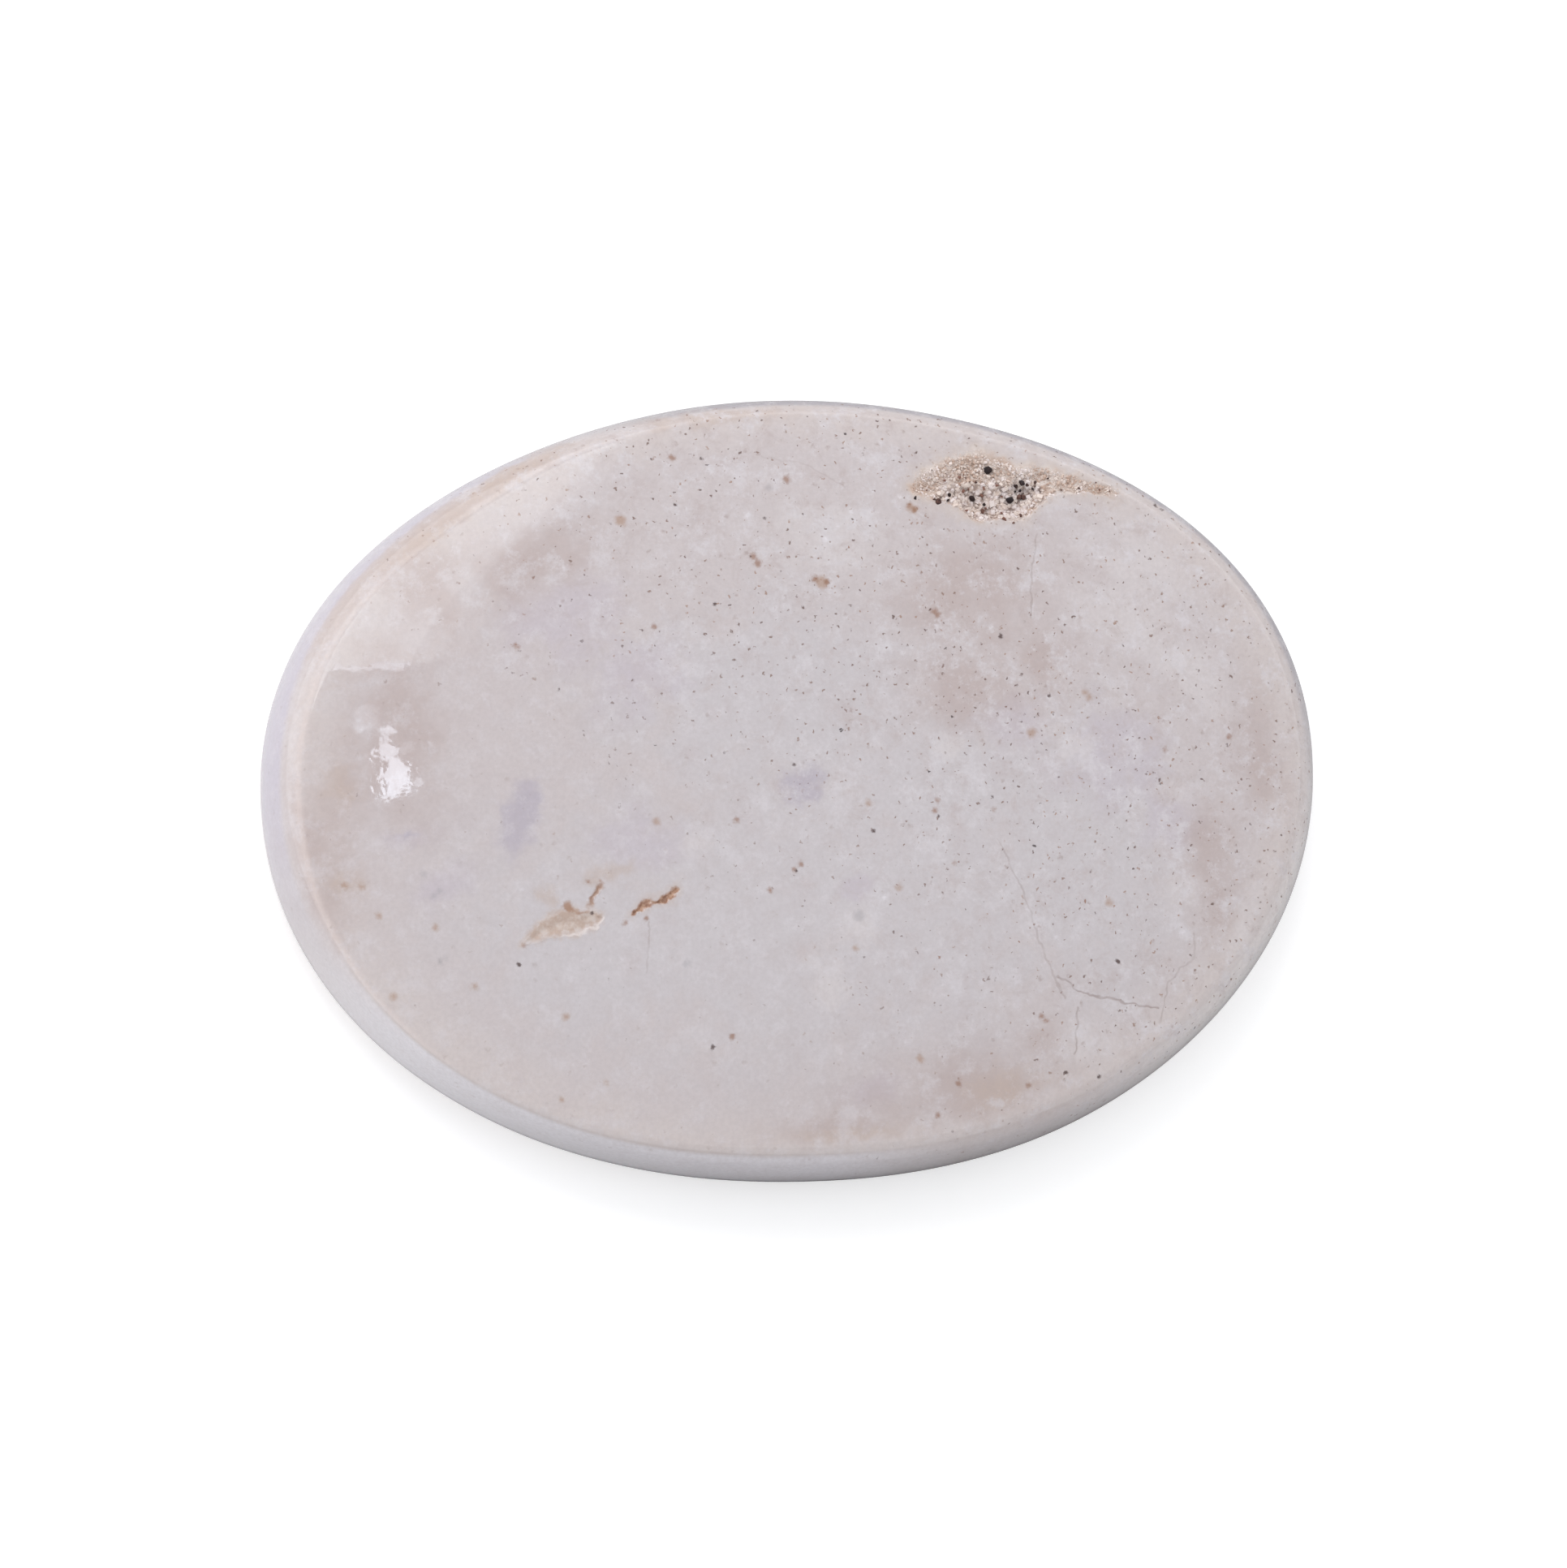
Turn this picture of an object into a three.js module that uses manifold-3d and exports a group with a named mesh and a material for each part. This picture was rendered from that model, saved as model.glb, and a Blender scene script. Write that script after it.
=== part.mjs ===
// Oval opal cabochon: one polished stone with a low domed top, a soft ridge, a rounded wall and a
// flat back. Near one edge its top has a hollow lined with a crust of small crystals, and towards
// the other end two small pits that iron has stained.
// Millimetres, +Z up, +X along the stone. The origin is under the middle of the flat back.

import * as THREE from 'three';
import { mergeVertices } from 'three/addons/utils/BufferGeometryUtils.js';
import Module from 'manifold-3d';

// Driving dimensions of the stone
const LENGTH = 40;
const WIDTH = 29.4;
const CROWN_HEIGHT = 6.2;
const RIDGE_HEIGHT = 4.9;
const GIRDLE_HEIGHT = 2.1;

// The stone's levels, as shares of the outline at the girdle, where the stone is widest
const BACK_SHARE = 0.93;
const RIDGE_SHARE = 0.9465;

// The wall turns through this angle from upright at the girdle to where it meets the top
const WALL_TURN = THREE.MathUtils.degToRad(70);
// 2 would be a plain round dome, and more than 2 is flatter in the middle
const CROWN_FULLNESS = 3;
// 2 would be a plain ellipse, and more than 2 is squarer
const OUTLINE_SQUARENESS = 2.09;
// How far grinding by hand left the outline off, as shares of its radius, by waves around it
const OUTLINE_WAVES = [
  { waves: 3, cosine: -0.0015, sine: 0.0035 },
  { waves: 4, cosine: 0.003, sine: 0.003 },
  { waves: 5, cosine: 0, sine: 0.004 },
];

// Facets
const OUTLINE_STEPS = 128;
const LOWER_WALL_STEPS = 4;
const UPPER_WALL_STEPS = 5;
const CROWN_STEPS = 7;
const LOBE_STEPS_AROUND = 22;
const LOBE_STEPS_DOWN = 12;

// Each hollow is a row of overlapping bowls. A bowl's turn is in degrees from +X towards +Y.
const VUG_LOBES = [
  { x: 6.15, y: 10.75, length: 3.0, width: 2.1, depth: 1.3, turn: -8 },
  { x: 7.3, y: 11.15, length: 2.7, width: 2.1, depth: 1.2, turn: 0 },
  { x: 8.1, y: 10.35, length: 2.9, width: 2.4, depth: 1.5, turn: 20 },
  { x: 9.6, y: 10.85, length: 3.0, width: 1.5, depth: 1.2, turn: -6 },
  { x: 11.6, y: 10.65, length: 3.0, width: 0.8, depth: 0.6, turn: -9 },
];
const IRON_PIT_LOBES = [
  { x: -9.25, y: -4.95, length: 2.4, width: 1.15, depth: 0.5, turn: 24 },
  { x: -10.4, y: -5.45, length: 2.2, width: 0.8, depth: 0.35, turn: 30 },
  { x: -8.75, y: -4.25, length: 1.5, width: 0.5, depth: 0.35, turn: 52 },
];
const WORM_PIT_LOBES = [
  { x: -6.85, y: -4.65, length: 0.9, width: 0.36, depth: 0.3, turn: 38 },
  { x: -6.2, y: -4.45, length: 1.0, width: 0.44, depth: 0.35, turn: 10 },
  { x: -5.65, y: -4.17, length: 0.7, width: 0.36, depth: 0.3, turn: 45 },
];
// A bowl's wall is lumpy by this share of its radius, in waves along its length, width and depth
const LOBE_LUMPINESS = 0.07;
const LUMP_WAVES = new THREE.Vector3(5, 4, 3);

// The crust: its clearance to the stone, how far its bed and its crystals' tips lie below the
// polished top, and the narrowest bowl that it fills
const CRUST_GAP = 0.3;
const CRUST_BED_DROP = 0.55;
const CRUST_TIP_DROP = 0.15;
const CRUST_LEAST_WIDTH = 1;
// Its crystals: six-sided points that stand in rows, with their places, sizes and leans shuffled
const CRYSTAL_SPACING = 0.52;
const CRYSTAL_LEAST_RADIUS = 0.21;
const CRYSTAL_GREATEST_RADIUS = 0.36;
const CRYSTAL_ROOT = 0.15;
const CRYSTAL_SIDES = 6;
const CRYSTAL_LEAN = THREE.MathUtils.degToRad(24);
const CRYSTAL_SEED = 19;

const OPAL_MATERIAL = new THREE.MeshStandardMaterial({ color: 0xc9c1c2, roughness: 0.22, metalness: 0 });
const CRUST_MATERIAL = new THREE.MeshStandardMaterial({ color: 0xcdb9a4, roughness: 0.55, metalness: 0 });

const wasm = await Module();
wasm.setup();

// ---- Solids from three.js geometries and back ----

function toSolid(geometry) {
  geometry.deleteAttribute('normal');
  geometry.deleteAttribute('uv');
  const merged = mergeVertices(geometry);
  const corners = merged.index.array;
  const triangles = [];
  for (let i = 0; i < corners.length; i += 3) {
    const [a, b, c] = corners.slice(i, i + 3);
    const hasArea = a !== b && b !== c && c !== a;
    if (hasArea) triangles.push(a, b, c);
  }
  return new wasm.Manifold(new wasm.Mesh({
    numProp: 3,
    vertProperties: new Float32Array(merged.attributes.position.array),
    triVerts: new Uint32Array(triangles),
  }));
}

function toMesh(name, solid, material) {
  const surface = solid.getMesh();
  const geometry = new THREE.BufferGeometry();
  geometry.setAttribute('position', new THREE.BufferAttribute(surface.vertProperties, surface.numProp));
  geometry.setIndex(new THREE.BufferAttribute(surface.triVerts, 1));
  geometry.computeVertexNormals();
  const mesh = new THREE.Mesh(geometry, material);
  mesh.name = name;
  return mesh;
}

function join(solids) {
  return solids.reduce((joined, solid) => joined.add(solid));
}

// What is left of a cut solid without the loose slivers at its edge
function largestBody(solid) {
  return solid.decompose().reduce((largest, body) => (body.volume() > largest.volume() ? body : largest));
}

// ---- The stone ----

// Distance from the middle to the outline at the girdle, in the direction of an angle
function outlineRadius(angle) {
  const across = Math.abs(Math.cos(angle)) / (LENGTH / 2);
  const along = Math.abs(Math.sin(angle)) / (WIDTH / 2);
  const oval = (across ** OUTLINE_SQUARENESS + along ** OUTLINE_SQUARENESS) ** (-1 / OUTLINE_SQUARENESS);
  const strays = OUTLINE_WAVES.map(
    ({ waves, cosine, sine }) => cosine * Math.cos(waves * angle) + sine * Math.sin(waves * angle),
  );
  return oval * (1 + strays.reduce((sum, stray) => sum + stray));
}

// Height of the domed top at a share of the way from the middle to the ridge
function crownHeight(share) {
  return RIDGE_HEIGHT + (CROWN_HEIGHT - RIDGE_HEIGHT) * (1 - share ** CROWN_FULLNESS);
}

function crownHeightAt(x, y) {
  const share = Math.hypot(x, y) / (RIDGE_SHARE * outlineRadius(Math.atan2(y, x)));
  return crownHeight(Math.min(share, 1));
}

// The stone's section from the middle of the back round to the middle of the top. Its x is a
// share of the outline, and its y is a height.
function sectionPoints() {
  const points = [new THREE.Vector2(0, 0), new THREE.Vector2(BACK_SHARE, 0)];
  for (let i = 1; i <= LOWER_WALL_STEPS; i += 1) {
    const turn = (i / LOWER_WALL_STEPS) * (Math.PI / 2);
    const share = BACK_SHARE + (1 - BACK_SHARE) * Math.sin(turn);
    points.push(new THREE.Vector2(share, GIRDLE_HEIGHT * (1 - Math.cos(turn))));
  }
  const inset = (1 - RIDGE_SHARE) / (1 - Math.cos(WALL_TURN));
  const rise = (RIDGE_HEIGHT - GIRDLE_HEIGHT) / Math.sin(WALL_TURN);
  for (let i = 1; i <= UPPER_WALL_STEPS; i += 1) {
    const turn = (i / UPPER_WALL_STEPS) * WALL_TURN;
    const share = 1 - inset * (1 - Math.cos(turn));
    points.push(new THREE.Vector2(share, GIRDLE_HEIGHT + rise * Math.sin(turn)));
  }
  for (let i = CROWN_STEPS - 1; i >= 0; i -= 1) {
    const share = i / CROWN_STEPS;
    points.push(new THREE.Vector2(share * RIDGE_SHARE, crownHeight(share)));
  }
  return points;
}

function blankStone() {
  const geometry = new THREE.LatheGeometry(sectionPoints(), OUTLINE_STEPS);
  geometry.rotateX(Math.PI / 2);
  const position = geometry.attributes.position;
  for (let i = 0; i < position.count; i += 1) {
    const reach = outlineRadius(Math.atan2(position.getY(i), position.getX(i)));
    position.setXY(i, position.getX(i) * reach, position.getY(i) * reach);
  }
  return toSolid(geometry);
}

// ---- Hollows ----

// One lumpy bowl, centred on the top's surface. A margin makes it smaller all round.
function lobeSolid({ x, y, length, width, depth, turn }, margin) {
  const geometry = new THREE.SphereGeometry(1, LOBE_STEPS_AROUND, LOBE_STEPS_DOWN);
  geometry.rotateX(Math.PI / 2);
  const position = geometry.attributes.position;
  const point = new THREE.Vector3();
  for (let i = 0; i < position.count; i += 1) {
    point.fromBufferAttribute(position, i);
    const wave = point.clone().multiply(LUMP_WAVES);
    const lump = Math.sin(wave.x + x) * Math.cos(wave.y + y) * Math.cos(wave.z);
    point.multiplyScalar(1 + LOBE_LUMPINESS * lump);
    position.setXYZ(i, point.x, point.y, point.z);
  }
  geometry.scale(length / 2 - margin, width / 2 - margin, depth - margin);
  geometry.rotateZ(THREE.MathUtils.degToRad(turn));
  geometry.translate(x, y, crownHeightAt(x, y));
  return toSolid(geometry);
}

function hollowSolid(lobes, margin = 0) {
  return join(lobes.map((lobe) => lobeSolid(lobe, margin)));
}

// ---- The crust of crystals in the vug ----

// A run of numbers from 0 to 1 that looks shuffled and is the same every time: the well known
// minimal standard generator
function shuffler(seed) {
  const multiplier = 16807;
  const modulus = 2 ** 31 - 1;
  let state = seed;
  return () => {
    state = (state * multiplier) % modulus;
    return state / modulus;
  };
}

function crystalSolid(x, y, random) {
  const height = CRUST_BED_DROP - CRUST_TIP_DROP + CRYSTAL_ROOT;
  const radius = THREE.MathUtils.lerp(CRYSTAL_LEAST_RADIUS, CRYSTAL_GREATEST_RADIUS, random());
  const geometry = new THREE.ConeGeometry(radius, height, CRYSTAL_SIDES);
  geometry.rotateX(Math.PI / 2);
  geometry.translate(0, 0, height / 2 - CRYSTAL_ROOT);
  geometry.rotateZ(random() * Math.PI);
  geometry.rotateX((random() * 2 - 1) * CRYSTAL_LEAN);
  geometry.rotateY((random() * 2 - 1) * CRYSTAL_LEAN);
  geometry.translate(x, y, crownHeightAt(x, y) - CRUST_BED_DROP);
  return toSolid(geometry);
}

// Crystals all over the box that holds the hollow. The ones outside it are cut away later.
function crystalField(hollow) {
  const { min, max } = hollow.boundingBox();
  const random = shuffler(CRYSTAL_SEED);
  const crystals = [];
  for (let x = min[0]; x < max[0]; x += CRYSTAL_SPACING) {
    for (let y = min[1]; y < max[1]; y += CRYSTAL_SPACING) {
      const shiftX = (random() - 0.5) * CRYSTAL_SPACING;
      const shiftY = (random() - 0.5) * CRYSTAL_SPACING;
      crystals.push(crystalSolid(x + shiftX, y + shiftY, random));
    }
  }
  return join(crystals);
}

function crustSolid(blank) {
  const wideLobes = VUG_LOBES.filter(({ width }) => width > CRUST_LEAST_WIDTH);
  const room = hollowSolid(wideLobes, CRUST_GAP);
  const bed = blank.translate([0, 0, -CRUST_BED_DROP]);
  return largestBody(room.intersect(bed.add(crystalField(room))));
}

// ---- The object ----

const blank = blankStone();
const hollows = join([VUG_LOBES, IRON_PIT_LOBES, WORM_PIT_LOBES].map((lobes) => hollowSolid(lobes)));

const gemstone = new THREE.Group();
gemstone.add(toMesh('opal', blank.subtract(hollows), OPAL_MATERIAL));
gemstone.add(toMesh('vug_crust', crustSolid(blank), CRUST_MATERIAL));

export default gemstone;
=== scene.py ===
import math
import random

import bmesh
import bpy
import numpy as np
from mathutils import Matrix, Vector, noise


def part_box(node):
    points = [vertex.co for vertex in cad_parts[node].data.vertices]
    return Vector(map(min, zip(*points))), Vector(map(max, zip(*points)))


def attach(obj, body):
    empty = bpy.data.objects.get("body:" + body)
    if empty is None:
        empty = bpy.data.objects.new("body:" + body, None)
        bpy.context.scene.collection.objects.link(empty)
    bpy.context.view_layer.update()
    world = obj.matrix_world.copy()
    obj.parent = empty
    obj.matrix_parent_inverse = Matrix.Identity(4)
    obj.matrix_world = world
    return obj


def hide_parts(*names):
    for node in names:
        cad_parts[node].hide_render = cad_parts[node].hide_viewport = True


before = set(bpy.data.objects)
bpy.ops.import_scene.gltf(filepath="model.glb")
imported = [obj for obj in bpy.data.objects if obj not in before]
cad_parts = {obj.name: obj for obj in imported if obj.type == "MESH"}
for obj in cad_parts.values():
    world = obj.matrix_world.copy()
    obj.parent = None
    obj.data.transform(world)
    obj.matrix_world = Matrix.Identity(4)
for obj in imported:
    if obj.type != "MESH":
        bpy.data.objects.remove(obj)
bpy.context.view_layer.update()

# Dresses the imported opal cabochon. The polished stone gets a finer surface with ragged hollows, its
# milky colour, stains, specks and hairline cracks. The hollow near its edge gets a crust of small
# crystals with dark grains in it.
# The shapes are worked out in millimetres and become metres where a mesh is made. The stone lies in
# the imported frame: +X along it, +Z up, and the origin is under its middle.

MM = 0.001

# ---- The stone's dimensions in millimetres, the same as its solid's ----

LENGTH = 40.0
WIDTH = 29.4
CROWN_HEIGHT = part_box("opal")[1].z / MM
RIDGE_HEIGHT = 4.9
GIRDLE_HEIGHT = 2.1
# The back's edge and the ridge, as shares of the outline
BACK_SHARE = 0.93
RIDGE_SHARE = 0.9465
# How far the wall leans over between the girdle and the ridge
WALL_TURN = math.radians(70)
# The powers of the crown's curve and of the oval
CROWN_FULLNESS = 3
OUTLINE_SQUARENESS = 2.09
# Slight waves in the outline: how many go round it, and their cosine and sine shares
OUTLINE_WAVES = [(3, -0.0015, 0.0035), (4, 0.003, 0.003), (5, 0.0, 0.004)]

# The ridge is rounded over this much of the way below it on the wall and inside it on the crown
RIDGE_ROUND_WALL = 0.3
RIDGE_ROUND_CROWN = 0.014

# Where the ridge strays from its even line: a middle angle and a reach in degrees, and a share of
# the outline. On the crown a stray fades out over the share after them
RIDGE_STRAYS = [(140, 25, -0.018), (218, 60, 0.027)]
STRAY_FADE = 0.15

# A stroke is a row of points, each x, y and half width, that is filled in between them
VUG = [
    (4.95, 10.62, 0.36), (5.6, 10.8, 0.74), (6.6, 10.86, 1.12), (7.4, 10.72, 1.4),
    (8.15, 10.5, 1.26), (8.7, 10.45, 1.16), (9.3, 10.67, 0.96), (9.95, 10.76, 0.7),
    (10.7, 10.72, 0.5), (11.4, 10.56, 0.34), (12.0, 10.48, 0.34), (12.5, 10.34, 0.24),
    (12.9, 10.27, 0.1),
]
VUG_CORE = [
    (5.7, 10.3, 0.1), (6.4, 10.35, 0.4), (7.0, 10.18, 0.58), (7.8, 9.98, 0.64), (8.45, 10.02, 0.68),
    (9.1, 10.34, 0.48), (9.9, 10.42, 0.16),
]
IRON_PIT = [
    (-11.3, -5.82, 0.08), (-10.9, -5.55, 0.24), (-10.4, -5.3, 0.4), (-9.8, -5.07, 0.56),
    (-9.2, -5.08, 0.5), (-8.7, -5.0, 0.36), (-8.4, -4.93, 0.16),
]
IRON_BRANCH = [
    (-8.8, -4.45, 0.04), (-8.62, -4.24, 0.1), (-8.44, -4.02, 0.12), (-8.3, -3.82, 0.12),
    (-8.25, -3.72, 0.06),
]
IRON_BLOTCH = [
    (-9.74, -4.38, 0.07), (-9.55, -4.46, 0.12), (-9.3, -4.62, 0.03), (-8.95, -4.68, 0.03),
]
WORM_PIT = [
    (-7.16, -4.84, 0.07), (-6.93, -4.72, 0.12), (-6.73, -4.59, 0.11), (-6.52, -4.47, 0.05),
    (-6.3, -4.45, 0.08), (-6.02, -4.42, 0.18), (-5.79, -4.33, 0.15), (-5.61, -4.19, 0.11),
    (-5.5, -4.07, 0.13),
]

# The hollows: stroke, how far inside it the slope starts and ends, and the depth and roughness
HOLLOWS = {
    "vug": (VUG, 0.0, 0.85, 0.2, 0.03),
    "core": (VUG_CORE, -0.12, 0.35, 0.3, 0.06),
    "iron": (IRON_PIT, 0.0, 0.5, 0.11, 0.012),
    "branch": (IRON_BRANCH, -0.02, 0.1, 0.05, 0.0),
    "worm": (WORM_PIT, -0.02, 0.12, 0.14, 0.015),
}
# Two of them slope in gently from the upper left and end in a steep edge at the lower right, past a
# line: a point on it, how it leans, where the steep side starts and ends, and how much narrower the
# slope is there
STEEP_SIDES = {
    "vug": ((8.0, 10.4), 0.35, (-0.7, 0.7), 0.65),
    "iron": ((-9.4, -5.1), 0.7, (-0.3, 0.6), 0.28),
}
# The vug loses a share of its depth between these places along X
VUG_TAIL = (9.6, 11.0)
VUG_TAIL_LOSS = 0.65
# The steep edge of the iron pit is broken clean, so its stain lies off to the upper left. Its lip is
# paler: unstained stone, with a painted highlight where the steep side faces the light. The clean lip
# starts between these places along X
STAIN_SHIFT = (-0.09, 0.12)
LIP_START = (-10.6, -9.2)

# Waves of noise, each with a reach and a length: in the edges of the hollows, in the cracks and
# clouds, and on the polish. On the beds the reach is a share of the bed's roughness
EDGE_WAVES = ((0.16, 0.6), (0.07, 0.2))
CRACK_WAVES = ((0.1, 0.5), (0.05, 0.17))
POLISH_WAVES = ((0.01, 5.0), (0.0007, 0.9))
BED_WAVES = ((1.0, 0.2), (0.6, 0.09))
SEED_STEPS = (17.3, 9.1, 5.7)

# Hairline cracks: how dark each one is, and its points
CRACKS = [
    (0.3, [
        (6.8, -2.8), (7.0, -3.2), (7.4, -4.2), (7.8, -5.4), (8.2, -6.8), (8.7, -8.1), (9.0, -8.8),
    ]),
    (0.5, [(8.75, -8.0), (9.35, -8.45), (10.0, -8.7), (11.0, -9.0), (11.8, -9.15), (12.6, -9.3)]),
    (0.42, [(9.45, -9.2), (9.4, -10.0), (9.25, -10.9)]),
    (0.32, [
        (12.7, -9.9), (12.9, -9.0), (13.1, -8.4), (13.6, -7.9), (14.2, -7.5), (14.3, -6.9),
        (14.2, -6.6),
    ]),
    (0.34, [(9.4, 8.8), (9.1, 7.4), (8.8, 5.5)]),
    (0.26, [(-6.6, -5.2), (-6.7, -6.2), (-6.8, -7.1)]),
    (0.14, [(-0.8, 12.2), (1.0, 11.7), (2.2, 10.8)]),
]
CRACK_DEPTH = 0.02
CRACK_HALF_WIDTH = 0.05

# Single spots near the polish: x, y and radius
RUST_SPOTS = [
    (4.58, 10.06, 0.06), (4.79, 9.84, 0.09), (-1.56, 8.3, 0.11), (-1.42, 8.05, 0.13),
    (0.02, 11.22, 0.13), (-4.2, 12.3, 0.11), (5.15, 5.9, 0.11), (5.27, 5.78, 0.1),
    (-3.75, -9.6, 0.1), (-3.05, -1.6, 0.1), (-5.55, 5.8, 0.1), (0.7, 7.33, 0.1), (1.15, 7.2, 0.11),
    (8.05, -9.45, 0.07), (8.2, -9.6, 0.06), (-7.5, -5.2, 0.07), (-6.7, -5.05, 0.06),
    (4.5, -1.58, 0.09), (4.65, -1.25, 0.07), (6.77, -1.7, 0.06), (-1.0, -3.55, 0.07),
    (-0.75, -3.35, 0.08), (5.1, -3.6, 0.07), (-10.75, 5.35, 0.09), (-11.3, -5.8, 0.07),
    (16.2, 0.75, 0.09), (13.6, 0.3, 0.06), (4.75, -11.75, 0.1), (7.45, -11.95, 0.08),
    (3.9, -12.9, 0.07), (-8.76, -3.6, 0.05), (-2.0, -4.3, 0.07),
]
TAN_SPOTS = [
    (-6.4, 9.95, 0.2), (4.64, 9.98, 0.14), (4.78, 9.84, 0.15), (8.45, 1.15, 0.17),
    (0.95, 7.2, 0.24), (-15.6, -9.2, 0.1), (10.95, -5.35, 0.14), (-13.2, -7.2, 0.11),
    (-16.2, -7.35, 0.12), (-9.9, -8.5, 0.12), (-6.05, -1.5, 0.12), (10.65, 2.6, 0.1),
    (10.8, 2.4, 0.09), (-14.5, -4.93, 0.11), (-17.1, -3.24, 0.1), (-17.7, -3.15, 0.1),
    (-16.55, -4.35, 0.09), (-10.2, -11.5, 0.09), (3.3, -10.8, 0.12), (1.1, -6.6, 0.1),
    (2.9, -4.4, 0.11), (-8.53, -11.0, 0.08), (2.0, -1.2, 0.1),
]
DARK_SPOTS = [
    (-3.2, 6.55, 0.09), (-4.3, 10.45, 0.07), (-1.0, 9.75, 0.07), (-3.1, 12.2, 0.07),
    (-3.3, 0.95, 0.07), (-0.7, 0.35, 0.08), (-9.3, 3.65, 0.07), (-11.53, -6.5, 0.09),
    (11.15, -7.55, 0.1), (2.1, -2.25, 0.08), (7.6, 4.85, 0.09), (9.25, 2.5, 0.08),
    (8.9, -11.55, 0.09), (10.2, -11.75, 0.08), (-4.5, -9.95, 0.1), (-8.7, -4.77, 0.07),
    (-1.66, 8.33, 0.05), (14.3, 9.8, 0.09), (14.55, 9.6, 0.07), (16.1, 0.4, 0.08),
    (4.62, -1.84, 0.05), (-0.95, -3.6, 0.06), (13.3, -1.0, 0.06), (-8.3, 5.4, 0.06),
    (6.75, -1.2, 0.05),
]
GREY_SPOTS = [
    (-5.3, -6.85, 0.13), (-14.5, -3.75, 0.12), (-14.25, -3.6, 0.13), (-0.7, 10.95, 0.12),
    (-14.4, -6.2, 0.09), (-14.2, -6.1, 0.08), (1.3, -5.4, 0.2), (-14.8, -2.95, 0.1),
]
SPOTS = {"rust": RUST_SPOTS, "tan": TAN_SPOTS, "dark": DARK_SPOTS, "grey": GREY_SPOTS}

# Soft clouds in the milk: x, y, length, width and turn in degrees
GREY_CLOUDS = [
    (-0.5, -5.1, 26.0, 11.0, 2), (-1.0, 2.6, 13.0, 7.5, 0), (9.9, -3.4, 9.0, 11.0, 0),
    (-8.0, -6.0, 12.0, 8.0, -10), (4.5, -0.8, 9.0, 7.0, 0),
]
VIOLET_CLOUDS = [
    (-11.1, -1.05, 2.8, 1.35, 68), (-0.4, -0.4, 1.8, 1.6, 0), (-15.45, -1.5, 1.3, 0.4, 5),
]
LAVENDER_CLOUDS = [
    (11.6, 0.2, 4.6, 4.2, 0), (-8.7, 6.4, 6.0, 3.4, 10), (13.6, -2.4, 3.0, 3.0, 0),
    (8.0, 1.6, 4.0, 2.4, 0), (-6.0, 4.0, 4.0, 3.0, 0), (-15.5, -1.6, 2.0, 0.9, 0),
    (-14.2, -3.4, 2.4, 1.6, 20), (1.8, -11.8, 2.4, 1.3, 10), (1.3, -4.4, 1.3, 1.0, 0),
    (-6.6, -2.2, 4.0, 2.4, 0),
]
BROWN_CLOUDS = [
    (-13.7, 7.6, 3.4, 5.2, 20), (-10.0, 8.4, 7.0, 2.6, 25), (-15.5, 2.4, 4.0, 7.4, 0),
    (6.7, 6.4, 6.4, 5.0, 0), (6.1, 3.0, 5.4, 3.4, 0), (15.0, -3.6, 2.4, 4.4, -12),
    (15.3, -5.6, 1.8, 2.6, -20), (17.3, 0.0, 2.0, 5.4, 0), (4.9, -12.0, 8.8, 2.8, 4),
    (0.4, -13.1, 6.0, 1.0, 0), (6.8, -12.1, 3.6, 2.0, 15), (8.3, -10.3, 2.4, 1.8, 0),
    (9.2, 4.0, 2.4, 3.0, 0), (-17.3, 0.6, 1.8, 2.4, 0), (-19.5, -2.6, 6.0, 9.0, 0),
]
PALE_CLOUDS = [
    (1.4, 9.0, 5.0, 3.4, 0), (15.0, 3.0, 5.0, 2.2, -50), (-4.6, -2.4, 1.6, 1.1, 0),
    (0.0, -7.8, 1.7, 2.2, 0), (9.6, -10.4, 3.4, 1.9, 0), (12.4, 5.6, 5.0, 3.0, -25),
    (1.1, -5.9, 2.4, 1.8, 0), (13.8, -4.9, 2.0, 1.6, 0), (5.3, 0.8, 1.4, 1.2, 0),
    (9.9, 0.6, 1.4, 1.2, 0), (13.9, -1.2, 1.6, 1.2, 0), (16.5, -6.0, 1.2, 4.0, -25),
    (13.0, 7.4, 4.5, 3.4, -30),
]
RUST_CLOUDS = [
    (-9.9, 12.2, 7.0, 0.9, 29), (-2.4, 13.8, 7.0, 0.8, 2), (-17.6, 0.7, 1.3, 1.7, 0),
    (-17.6, -3.1, 1.8, 0.9, -10), (0.4, -13.4, 5.0, 0.5, 0), (6.4, -12.0, 4.0, 1.5, 12),
    (-8.0, -3.3, 2.4, 0.6, 12), (-10.3, -3.95, 0.8, 0.8, 40), (-13.4, 9.9, 5.0, 0.9, 35),
]
CLOUDS = {
    "grey": GREY_CLOUDS, "violet": VIOLET_CLOUDS, "lavender": LAVENDER_CLOUDS,
    "brown": BROWN_CLOUDS, "pale": PALE_CLOUDS, "rust": RUST_CLOUDS,
}
# The edges of the clouds stray this many times as far as the cracks do
CLOUD_STRAY = 3

# Bands along the rim: from and to an angle in degrees, and from and to a share of the outline. Apart
# from the stain below the ridge on the upper left, they are painted light and shade: a highlight on
# the ridge, paler and bluer reflections of the studio on the wall, and shade on the far wall
RIM_BANDS = {
    "rim_stain": (112, 178, 0.951, 0.982),
    "painted_ridge_highlight": (110, 225, 0.942, 0.949),
    "painted_blue_wall_reflection": (108, 200, 0.979, 1.02),
    "painted_pale_wall_light": (188, 292, 0.957, 1.02),
    "painted_pale_end_light": (303, 368, 0.955, 1.02),
    "far_shade": (-8, 122, 0.967, 1.02),
}
# They fade over these degrees at their ends, these shares outside and inside their edges, and
# between these heights above the back
BAND_END_FADE = 25
BAND_FADE_OUTSIDE = 0.006
BAND_FADE_INSIDE = 0.004
BAND_HEIGHTS = (0.6, 1.6)

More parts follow.
